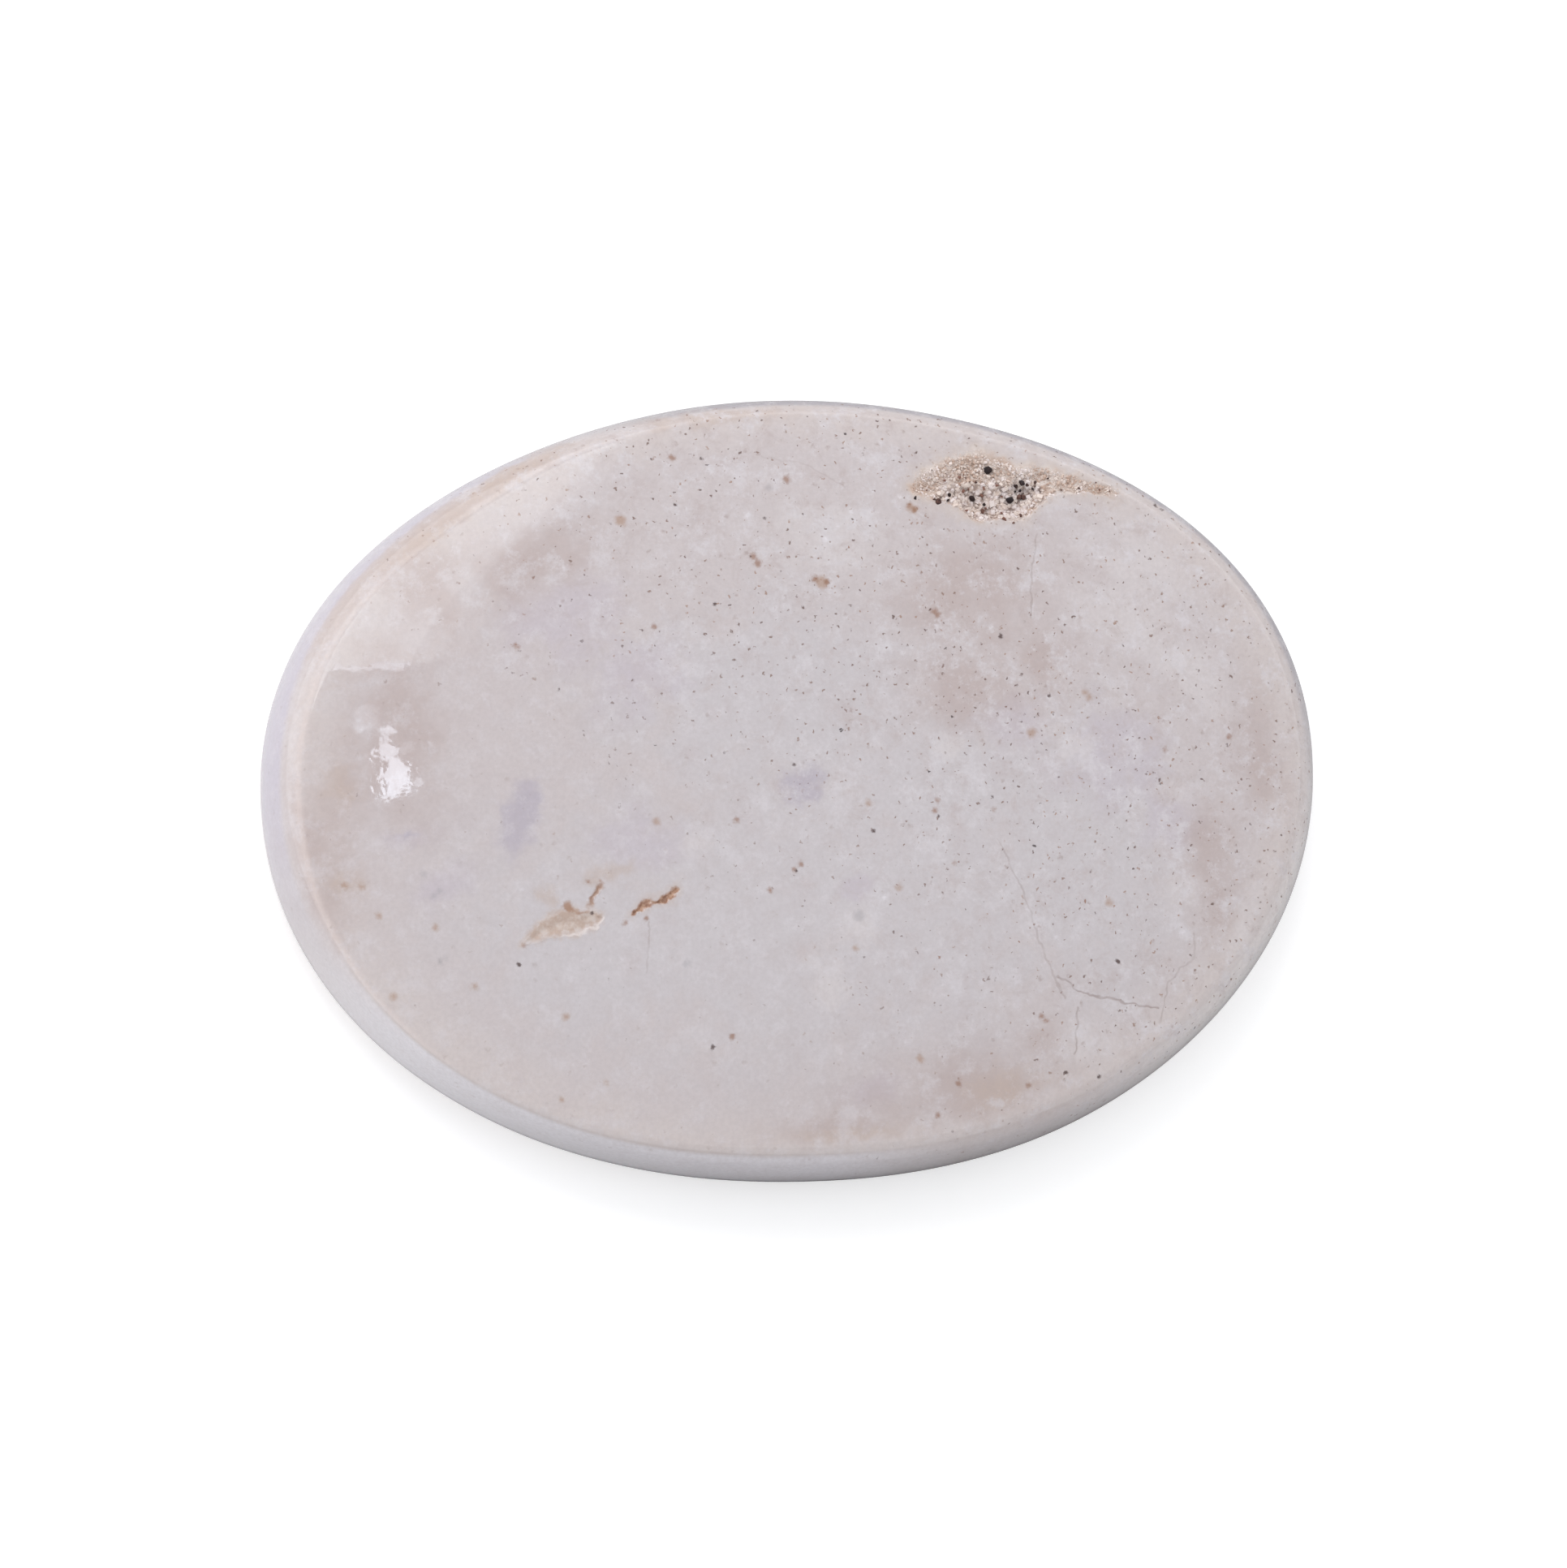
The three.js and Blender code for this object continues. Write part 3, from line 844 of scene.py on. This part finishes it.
def specks_group():
    """Small round specks at random places, each with its own tone. Sizes are in millimetres."""
    numbers = {"Spacing": 1.0, "Radius": 0.06, "Share": 0.5, "Softness": 0.4}
    group, given, result = new_group("Specks", numbers, ["Mask", "Tone"])
    scale = calculate(group, "DIVIDE", 1.0, given["Spacing"])
    cells = add_node(group, "ShaderNodeTexVoronoi", {"Vector": given["Place"], "Scale": scale})
    away = multiply(group, cells.outputs["Distance"], given["Spacing"])
    draw = add_node(group, "ShaderNodeSeparateColor", {0: cells.outputs["Color"]}).outputs
    kept = calculate(group, "LESS_THAN", draw[0], given["Share"])
    own_size = calculate(group, "MULTIPLY_ADD", draw[1], 0.8, 0.5)
    radius = multiply(group, given["Radius"], own_size)
    edge = multiply(group, radius, calculate(group, "SUBTRACT", 1.0, given["Softness"]))
    disc = add_node(group, "ShaderNodeMapRange", {
        "Value": away, "From Min": radius, "From Max": edge, "To Min": 0.0, "To Max": 1.0,
    }).outputs[0]
    feed(group, result, {"Mask": multiply(group, disc, kept), "Tone": draw[2]})
    return group


def grain_group():
    """Fine grain of a size in millimetres: light and dark crumbs, and a height for a bump."""
    group, given, result = new_group("Fine grain", {"Size": 0.2}, ["Grain", "Height"])
    scale = calculate(group, "DIVIDE", 1.0, given["Size"])
    crumbs = add_node(group, "ShaderNodeTexNoise", {
        "Vector": given["Place"], "Scale": scale, "Detail": 3.0, "Roughness": 0.6,
    }).outputs["Fac"]
    feed(group, result, {"Grain": ease(group, crumbs, 0.3, 0.7), "Height": crumbs})
    return group


def use_group(tree, group, **inputs):
    return add_node(tree, "ShaderNodeGroup", inputs, node_tree=group).outputs


def new_material(name):
    material = bpy.data.materials.new(name)
    material.use_nodes = True
    tree = material.node_tree
    return material, tree, tree.nodes["Principled BSDF"]


def tint(tree, colour, mask, strength, new_colour):
    """Lays a colour over another where a mask is, at a strength from 0 to 1."""
    return mix_colours(tree, multiply(tree, mask, strength), colour, new_colour)


def tint_all(tree, colour, tints):
    """Lays a row of colours over one another. A tint is a mask, a strength and a colour."""
    for mask, strength, new_colour in tints:
        colour = tint(tree, colour, mask, strength, new_colour)
    return colour


def frayed(tree, name, fray, low, high):
    """A soft cover or reach whose edge is broken up by a fray around 0."""
    return ease(tree, calculate(tree, "ADD", attribute(tree, name), fray), low, high)


def fray_of(tree, place, size, reach):
    """Noise around 0, as wide as a reach to either side."""
    lumps = cloudiness(tree, place, size, detail=3.0, roughness=0.62)
    return multiply(tree, calculate(tree, "SUBTRACT", lumps, 0.5), 4 * reach)


def ragged(tree, place, size, reach):
    """Places strayed by noise of a size, by up to a reach, both in millimetres."""
    lumps = {"Vector": place, "Scale": 1 / size, "Detail": 1.0}
    stray = add_node(tree, "ShaderNodeTexNoise", lumps).outputs["Color"]
    stray = vector_math(tree, "SUBTRACT", stray, (0.5, 0.5, 0.5))
    return vector_math(tree, "ADD", place, vector_math(tree, "SCALE", stray, Scale=4 * reach))


def milk_colour(tree, place):
    """The milk of the stone: rose and grey zones, warm rim, and brown, violet and pale clouds. The
    wall and ridge carry painted reflection, a painted highlight and painted shade.
    """
    wide = fray_of(tree, place, 1.6, 0.45)
    fine = fray_of(tree, place, 0.7, 0.25)
    share = attribute(tree, "outline_share")
    rim = ease(tree, calculate(tree, "MULTIPLY_ADD", wide, 0.1, share), 0.82, 0.95)
    painted_wall_reflection = ease(tree, share, 0.95, 0.985)
    grey = frayed(tree, "grey_cover", wide, 0.05, 0.8)
    colour = mix_colours(tree, grey, srgb(199, 190, 191), srgb(199, 193, 196))
    return tint_all(tree, colour, [
        (rim, 0.85, srgb(205, 195, 193)),
        (frayed(tree, "lavender_cover", wide, 0.15, 1.0), 0.6, srgb(193, 184, 193)),
        (frayed(tree, "brown_cover", wide, 0.0, 1.2), 0.8, srgb(184, 168, 165)),
        (frayed(tree, "pale_cover", wide, 0.2, 1.0), 0.65, srgb(210, 203, 204)),
        # A paler, bluer wall all round: painted reflection of the white studio
        (painted_wall_reflection, 0.7, srgb(203, 197, 199)),
        # Painted light: a paler wall at the lower left and the bottom
        (attribute(tree, "painted_pale_wall_light"), 0.9, srgb(222, 218, 223)),
        # Painted light: a paler wall at the right end
        (attribute(tree, "painted_pale_end_light"), 0.85, srgb(221, 214, 213)),
        # Painted reflection of the studio: a bluer wall on the upper left
        (attribute(tree, "painted_blue_wall_reflection"), 0.8, srgb(191, 185, 197)),
        (frayed(tree, "rim_stain", fine, 0.1, 1.0), 0.66, srgb(190, 174, 168)),
        # Painted highlight along the ridge on the left
        (attribute(tree, "painted_ridge_highlight"), 0.45, srgb(220, 206, 201)),
        (attribute(tree, "far_shade"), 0.75, srgb(154, 150, 160)),
        (frayed(tree, "rust_cover", fine, 0.1, 1.1), 0.55, srgb(190, 171, 160)),
        (frayed(tree, "violet_cover", fine, 0.15, 0.8), 0.75, srgb(178, 170, 182)),
    ])


def opal_colour(tree, place, specks, grain):
    """The body colour of the stone: milk, mottling, grain and specks."""
    clear = attribute(tree, "clearness")
    light = ease(tree, cloudiness(tree, place, 1.1, 5.0, 0.8), 0.47, 0.68)
    light = multiply(tree, light, calculate(tree, "MULTIPLY_ADD", clear, 0.35, 0.4))
    warm = ease(tree, cloudiness(tree, place, 1.0, 5.0, 0.8, distortion=0.4), 0.46, 0.76)
    warm = multiply(tree, warm, calculate(tree, "MULTIPLY_ADD", clear, 0.42, 0.16))
    crumbs = use_group(tree, grain, Place=place, Size=0.16)["Grain"]
    strayed = ragged(tree, place, 0.15, 0.06)

    def draw_specks(spacing, radius, share, softness):
        values = {"Spacing": spacing, "Radius": radius, "Share": share, "Softness": softness}
        return use_group(tree, specks, Place=strayed, **values)

    flocks = draw_specks(0.5, 0.14, 0.7, 0.9)["Mask"]
    deep = draw_specks(0.5, 0.1, 0.5, 0.9)["Mask"]
    dots = draw_specks(0.275, 0.055, clear, 0.55)
    dot_colour = mix_colours(tree, dots["Tone"], srgb(84, 60, 54), srgb(164, 134, 118))
    pricks = draw_specks(1.0, 0.065, multiply(tree, clear, 0.6), 0.4)
    prick_tone = ease(tree, pricks["Tone"], 0.3, 0.8)
    prick_colour = mix_colours(tree, prick_tone, srgb(54, 42, 42), srgb(144, 106, 86))
    bold = ease(tree, clear, 0.0, 0.9, 0.36, 0.82)
    return tint_all(tree, milk_colour(tree, place), [
        (light, 1.0, srgb(211, 206, 210)),
        (warm, 1.0, srgb(181, 166, 164)),
        (crumbs, 0.16, srgb(166, 156, 158)),
        (multiply(tree, flocks, light), 1.0, srgb(224, 219, 224)),
        (deep, ease(tree, clear, 0.0, 1.0, 0.26, 0.44), srgb(142, 118, 110)),
        (dots["Mask"], bold, dot_colour),
        (pricks["Mask"], bold, prick_colour),
    ])


def vug_bed_colour(tree, place, jag):
    """The sandy bed of the vug, with rusty clouds and a paler core."""
    sand = ease(tree, cloudiness(tree, place, 0.6, 4.0, 0.75), 0.38, 0.62)
    colour = mix_colours(tree, sand, srgb(194, 173, 160), srgb(224, 212, 206))
    rusty = ease(tree, cloudiness(tree, place, 1.3), 0.5, 0.62)
    return tint_all(tree, colour, [
        (rusty, 0.5, srgb(180, 148, 128)),
        (frayed(tree, "core_reach", jag, -0.15, 0.1), 0.6, srgb(204, 187, 181)),
    ])


def opal_marks(tree, place, colour):
    """Adds stains, the iron pit's pale lip with its painted highlight, single spots and cracks. Gives
    the colour and where the stone is unpolished.
    """
    jag = fray_of(tree, place, 0.16, 0.05)
    fray = fray_of(tree, place, 0.45, 0.17)
    spot = fray_of(tree, place, 0.2, 0.07)
    in_vug = frayed(tree, "vug_reach", jag, -0.06, 0.2)
    in_iron = frayed(tree, "iron_reach", jag, -0.03, 0.06)
    in_worm = frayed(tree, "worm_reach", jag, -0.05, 0.06)
    rough = calculate(tree, "MAXIMUM", in_vug, calculate(tree, "MAXIMUM", in_iron, in_worm))

    vug_stain = frayed(tree, "vug_reach", fray, -0.5, 0.2)
    colour = tint(tree, colour, vug_stain, 0.4, srgb(200, 184, 172))
    bed = vug_bed_colour(tree, place, jag)
    colour = mix_colours(tree, frayed(tree, "vug_reach", fray, -0.1, 0.3), colour, bed)

    rusty = ease(tree, cloudiness(tree, place, 0.45, 3.0, 0.6), 0.36, 0.6)
    stain = mix_colours(tree, rusty, srgb(206, 190, 180), srgb(186, 162, 147))
    # The iron pit's clean lip: unstained stone, made paler than the milk as a painted highlight on
    # its lit steep side
    lip = multiply(tree, in_iron, ease(tree, attribute(tree, "lip_reach"), 0.03, 0.11))
    lip = multiply(tree, lip, frayed(tree, "iron_reach", jag, 0.15, 0.05))
    rusty = ease(tree, cloudiness(tree, place, 0.16, 3.0), 0.38, 0.62)
    ochre = mix_colours(tree, rusty, srgb(200, 160, 132), srgb(154, 110, 84))
    colour = tint_all(tree, colour, [
        (frayed(tree, "stain_reach", fray, -0.3, 0.22), 0.85, stain),
        (lip, 0.6, srgb(222, 213, 211)),
        (frayed(tree, "blotch_reach", jag, -0.1, 0.08), 0.85, srgb(160, 124, 102)),
        (frayed(tree, "worm_reach", fray, -0.3, 0.1), 0.3, srgb(190, 166, 150)),
        (in_worm, 0.85, ochre),
        (frayed(tree, "grey_reach", spot, -0.12, 0.12), 0.32, srgb(140, 136, 142)),
        (frayed(tree, "tan_reach", spot, -0.12, 0.12), 0.65, srgb(166, 134, 112)),
        (frayed(tree, "rust_reach", spot, -0.1, 0.08), 0.7, srgb(144, 104, 80)),
        (frayed(tree, "dark_reach", jag, -0.03, 0.05), 0.85, srgb(72, 50, 46)),
    ])

    line = ease(tree, attribute(tree, "crack_distance"), 0.06, 0.015)
    line = multiply(tree, line, ease(tree, cloudiness(tree, place, 0.5), 0.3, 0.6, 0.45, 1.0))
    line = multiply(tree, line, attribute(tree, "crack_darkness"))
    return mix_colours(tree, line, colour, srgb(138, 118, 112)), rough


def opal_material(specks, grain):
    material, tree, shader = new_material("Polished milky opal")
    place = millimetre_coordinates(tree)
    colour, rough = opal_marks(tree, place, opal_colour(tree, place, specks, grain))
    polish = cloudiness(tree, place, 0.6, roughness=0.6)
    gloss = ease(tree, polish, 0.3, 0.7, 0.015, 0.04)
    unpolished = {0: rough, 2: gloss, 3: 0.55}
    pitted = use_group(tree, grain, Place=place, Size=0.1)["Height"]
    normal = bumped(tree, polish, 0.09, 0.02)
    feed(tree, shader, {
        "Base Color": colour,
        "Roughness": add_node(tree, "ShaderNodeMix", unpolished, data_type="FLOAT").outputs[0],
        "Normal": bumped(tree, multiply(tree, pitted, rough), 0.6, 0.04, Normal=normal),
        "IOR": 1.45,
        "Subsurface Weight": 0.1,
        "Subsurface Radius": (1.0, 0.85, 0.8),
        "Subsurface Scale": 0.6 * MM,
    })
    return material


def crystal_material(specks, grain):
    material, tree, shader = new_material("Sugary crystals")
    place = millimetre_coordinates(tree)
    tone = attribute(tree, "tone")
    crumbs = use_group(tree, grain, Place=place, Size=0.05)
    dust = use_group(tree, specks, Place=place, Spacing=0.3, Radius=0.055, Share=0.35)["Mask"]
    colour = mix_colours(tree, ease(tree, tone, 0.0, 0.5), srgb(201, 175, 160), srgb(228, 214, 206))
    colour = mix_colours(tree, ease(tree, tone, 0.45, 0.95), colour, srgb(240, 230, 229))
    colour = tint(tree, colour, crumbs["Grain"], 0.2, srgb(150, 122, 108))
    feed(tree, shader, {
        "Base Color": tint(tree, colour, dust, 0.75, srgb(104, 62, 48)),
        "Roughness": ease(tree, crumbs["Grain"], 0.0, 1.0, 0.18, 0.45),
        "Normal": bumped(tree, crumbs["Height"], 0.3, 0.02),
        "IOR": 1.54,
    })
    return material


def dark_grain_material(grain):
    material, tree, shader = new_material("Dark mineral grains")
    crumbs = use_group(tree, grain, Place=millimetre_coordinates(tree), Size=0.09)
    rusty = calculate(tree, "MULTIPLY_ADD", crumbs["Grain"], 0.4, attribute(tree, "tone"))
    rusty = ease(tree, rusty, 0.2, 1.3)
    feed(tree, shader, {
        "Base Color": mix_colours(tree, rusty, srgb(30, 20, 24), srgb(126, 88, 76)),
        "Roughness": ease(tree, crumbs["Grain"], 0.0, 1.0, 0.3, 0.6),
        "Normal": bumped(tree, crumbs["Height"], 0.5, 0.03),
        "Specular IOR Level": 0.3,
    })
    return material


# ==== Stage, lights and camera ====

STONE_MIDDLE = Vector((0, 0, 3.4)) * MM
CAMERA_LEAN_X = math.radians(12.0)
CAMERA_LEAN_Y = math.radians(8.4)
CAMERA_ROLL = math.radians(-4.58)
CAMERA_DISTANCE = 400 * MM
SENSOR_WIDTH = 36.0
# The picture's width in pixels, and a pixel's size on the stone in millimetres
PICTURE_WIDTH = 1931
PIXEL_SIZE = 0.030333
FRAME_WIDTH = PICTURE_WIDTH * PIXEL_SIZE * MM
# How far right and up of the picture's middle the stone's middle lies
CAMERA_OFFSET = Vector((0.561, -0.043)) * MM
WHITE = (1.0, 1.0, 1.0, 1.0)
STUDIO_COLOUR = (0.975, 0.985, 1.0, 1.0)
KEY_COLOUR = (1.0, 0.99, 0.97)
KEY_EDGE_COLOUR = (0.85, 0.9, 1.0)
LAMP_COLOUR = (0.8, 0.88, 1.0)
SOFTBOX_HEIGHT = 0.5
# The key light and the strips that soften its edges: corner, size, strength and colour
KEY_TURN = -18
KEY_LIGHTS = {
    "key softbox": ((-0.1133, 0.3384), (0.85, 0.788), 2.8, KEY_COLOUR),
    "key edge": ((-0.119, 0.327), (0.125, 0.0118), 4.6, KEY_EDGE_COLOUR),
    "key spill": ((-0.083, 0.325), (0.034, 0.6), 1.7, KEY_COLOUR),
    "key fall-off": ((-0.05, 0.325), (0.034, 0.6), 0.8, KEY_COLOUR),
}
# A small lamp behind leaves: the corner, size, turn and strength of each lit piece
LAMP_PANES = [
    ((-0.112, 0.147), (0.035, 0.027), 8, 11.0), ((-0.118, 0.162), (0.03, 0.015), -8, 11.0),
    ((-0.124, 0.176), (0.014, 0.026), 34, 11.0), ((-0.127, 0.198), (0.02, 0.025), 48, 9.0),
    ((-0.144, 0.207), (0.009, 0.02), -18, 6.0), ((-0.132, 0.221), (0.018, 0.015), 12, 9.0),
    ((-0.15, 0.238), (0.026, 0.04), 15, 2.0), ((-0.109, 0.198), (0.018, 0.011), 20, 2.6),
    ((-0.0985, 0.152), (0.009, 0.01), 25, 5.0), ((-0.103, 0.166), (0.006, 0.006), 10, 4.0),
]
# The floor's size, its gap to the flat back, how much light it throws up at the stone, and a little
# glow that thins its shadow
FLOOR_SIZE = 3.0
FLOOR_GAP = 0.02 * MM
BOUNCE = 0.55
BOUNCE_LEFT = 0.35
BOUNCE_LOSS_NEAR = 0.47
FLOOR_LIFT = 0.25
# The studio's strength overhead, and what the glow at the horizon adds on average, by X and by Y
OVERHEAD = 0.68
GLOW = 1.36
GLOW_BY_X = -0.42
GLOW_BY_Y = 0.26
GLOW_LOSS_NEAR = 0.3


def below_zero(tree, value):
    """How far a value lies below 0."""
    return calculate(tree, "MAXIMUM", multiply(tree, value, -1.0), 0.0)


def near_side(tree, y):
    """From 0 at the sides to 1 on the near side, for the Y of a direction."""
    near = below_zero(tree, y)
    return multiply(tree, near, near)


def make_floor():
    """A pale floor that looks white. It throws most light up on the left and least near by."""
    bpy.ops.mesh.primitive_plane_add(size=FLOOR_SIZE)
    floor = bpy.context.object
    floor.name = "floor"
    floor.location.z = -FLOOR_GAP
    material, tree, shader = new_material("Pale floor")
    place = add_node(tree, "ShaderNodeTexCoord").outputs["Object"]
    way = vector_math(tree, "NORMALIZE", place)
    x, y, _ = add_node(tree, "ShaderNodeSeparateXYZ", {0: way}).outputs
    level = calculate(tree, "MULTIPLY_ADD", below_zero(tree, x), BOUNCE_LEFT, BOUNCE)
    level = calculate(tree, "MULTIPLY_ADD", near_side(tree, y), -BOUNCE_LOSS_NEAR, level)
    bounce = add_node(tree, "ShaderNodeCombineColor", {0: level, 1: level, 2: level}).outputs[0]
    seen = add_node(tree, "ShaderNodeLightPath").outputs["Is Camera Ray"]
    feed(tree, shader, {
        "Base Color": mix_colours(tree, seen, bounce, WHITE),
        "Emission Color": WHITE,
        "Emission Strength": multiply(tree, seen, FLOOR_LIFT),
        "Roughness": 0.8,
        "Specular IOR Level": 0.0,
    })
    floor.data.materials.append(material)


def make_camera():
    toward = Vector((-math.tan(CAMERA_LEAN_X), -math.tan(CAMERA_LEAN_Y), 1)).normalized()
    right = Vector((0, 1, 0)).cross(toward).normalized()
    up = toward.cross(right)
    level = Matrix((right, up, toward)).transposed()
    turn = level @ Matrix.Rotation(CAMERA_ROLL, 3, "Z")
    middle = STONE_MIDDLE - turn @ Vector((CAMERA_OFFSET.x, CAMERA_OFFSET.y, 0))
    data = bpy.data.cameras.new("camera")
    data.sensor_fit = "HORIZONTAL"
    data.sensor_width = SENSOR_WIDTH
    data.lens = SENSOR_WIDTH * CAMERA_DISTANCE / FRAME_WIDTH
    camera = bpy.data.objects.new("camera", data)
    camera.matrix_world = Matrix.Translation(middle + toward * CAMERA_DISTANCE) @ turn.to_4x4()
    bpy.context.collection.objects.link(camera)
    bpy.context.scene.camera = camera


def make_softbox(name, corner, size, turn, radiance, colour):
    """A level softbox over the stone, facing straight down.

    Its lower right corner and its size are shares of its height above the stone. It is turned about
    that corner, in degrees.
    """
    width, depth = Vector(size) * SOFTBOX_HEIGHT
    data = bpy.data.lights.new(name, "AREA")
    data.shape = "RECTANGLE"
    data.size, data.size_y = width, depth
    data.energy = radiance * math.pi * width * depth
    data.color = colour
    light = bpy.data.objects.new(name, data)
    turned = Matrix.Rotation(math.radians(turn), 3, "Z")
    corner_place = Vector((*corner, 1)) * SOFTBOX_HEIGHT
    light.location = STONE_MIDDLE + corner_place + turned @ Vector((-width / 2, depth / 2, 0))
    light.rotation_euler = turned.to_euler()
    bpy.context.collection.objects.link(light)


def make_world():
    """A white studio round the stone, brighter towards the horizon and on the left and far side."""
    world = bpy.data.worlds.new("studio")
    world.use_nodes = True
    tree = world.node_tree
    way = add_node(tree, "ShaderNodeTexCoord").outputs["Generated"]
    x, y, z = add_node(tree, "ShaderNodeSeparateXYZ", {0: way}).outputs
    lowness = calculate(tree, "SUBTRACT", 1.0, calculate(tree, "MAXIMUM", z, 0.0))
    glow = calculate(tree, "MULTIPLY_ADD", y, GLOW_BY_Y, GLOW)
    glow = calculate(tree, "MULTIPLY_ADD", x, GLOW_BY_X, glow)
    glow = calculate(tree, "MULTIPLY_ADD", near_side(tree, y), -GLOW_LOSS_NEAR, glow)
    glow = calculate(tree, "MAXIMUM", glow, 0.0)
    low_down = multiply(tree, lowness, lowness)
    strength = calculate(tree, "MULTIPLY_ADD", low_down, glow, OVERHEAD)
    feed(tree, tree.nodes["Background"], {"Color": STUDIO_COLOUR, "Strength": strength})
    bpy.context.scene.world = world


def light_the_stage():
    make_world()
    for name, (corner, size, radiance, colour) in KEY_LIGHTS.items():
        make_softbox(name, corner, size, KEY_TURN, radiance, colour)
    for number, (corner, size, turn, radiance) in enumerate(LAMP_PANES):
        make_softbox(f"lamp pane {number}", corner, size, turn, radiance, LAMP_COLOUR)
    bpy.context.scene.view_settings.view_transform = "Standard"


# ==== The scene ====

specks_effect = specks_group()
grain_effect = grain_group()
make_stone(opal_material(specks_effect, grain_effect))
make_crystals(crystal_material(specks_effect, grain_effect))
make_dark_grains(dark_grain_material(grain_effect))
make_floor()
make_camera()
light_the_stage()
